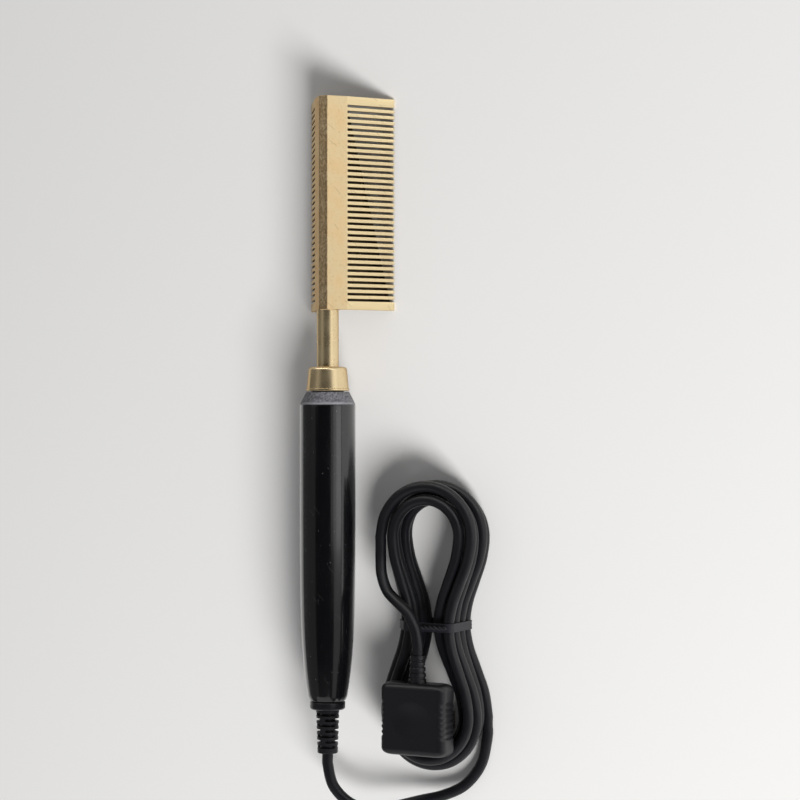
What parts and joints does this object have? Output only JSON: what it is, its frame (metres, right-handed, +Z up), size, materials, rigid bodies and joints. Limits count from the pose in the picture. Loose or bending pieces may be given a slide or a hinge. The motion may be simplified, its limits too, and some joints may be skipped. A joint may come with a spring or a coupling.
{
  "type": "hot comb",
  "caption": "Electric pressing comb with two slanted rows of metal teeth on a heated barrel, a rounded handle, a swivel cord outlet and a bundled mains lead with plug.",
  "frame": {"origin": "on the floor, below the middle of the comb without its lead; the comb stands on its tooth tips with the neck axis 24.5 mm up", "axes": "+Y along the comb from the lead towards the head, +Z up, +X towards the bundled lead"},
  "size_m": [0.0944, 0.3263, 0.0372],
  "materials": {
    "gold_metal": "satin gold-coloured brass with fine cast grain",
    "gold_tube": "satin gold-coloured brass",
    "scuffed_black": "scuffed matte black",
    "gloss_black": "semi-gloss black",
    "black_plastic": "satin black",
    "black_rubber": "matte black",
    "cord_black": "satin black",
    "cord_plug": "satin black moulding",
    "tie_black": "matte black",
    "blade_metal": "nickel plate",
    "ceramic": "unglazed",
    "sheath_steel": "drawn",
    "spring_steel": "plain",
    "resistance_wire": "oxidised",
    "mica": "matte",
    "glass_sleeve": "woven glass",
    "wire_white": "satin",
    "wire_black": "satin",
    "contact_brass": "bright",
    "nylon": "matte",
    "copper": "bright"
  },
  "bodies": {
    "comb": {"comb_head": "gold_metal", "neck_tube": "gold_tube", "ferrule": "gold_tube", "front_collar": "scuffed_black", "handle_shell": "gloss_black", "insulating_bush": "ceramic", "neck_clip": "spring_steel", "heater_sheath": "sheath_steel", "heater_core": "ceramic", "heating_wire": "resistance_wire", "mica_wrap": "mica", "heater_seal": "ceramic", "lead_wires": "wire_white", "lead_sleeve": "glass_sleeve", "thermal_fuse": "sheath_steel", "crimp_joints": "contact_brass", "tail_wires": "wire_black", "contact_block": "nylon", "contact_leaves": "contact_brass", "end_bush": "nylon", "cord_lead": "cord_black", "cord_hank": "cord_black", "cord_tail": "cord_black", "hank_tie": "tie_black", "plug_body": "cord_plug", "plug_blades": "blade_metal"},
    "swivel": {"contact_rings": "contact_brass", "swivel_stem": "black_plastic", "swivel_clip": "spring_steel", "strain_relief": "black_rubber", "cord_cores": "copper"}
  },
  "joints": [
    {"name": "cord_swivel", "type": "hinge", "parent": "comb", "child": "swivel", "pos_m": [0, -0.12, 0.02451], "axis": [0, 1, 0], "continuous": true}
  ]
}
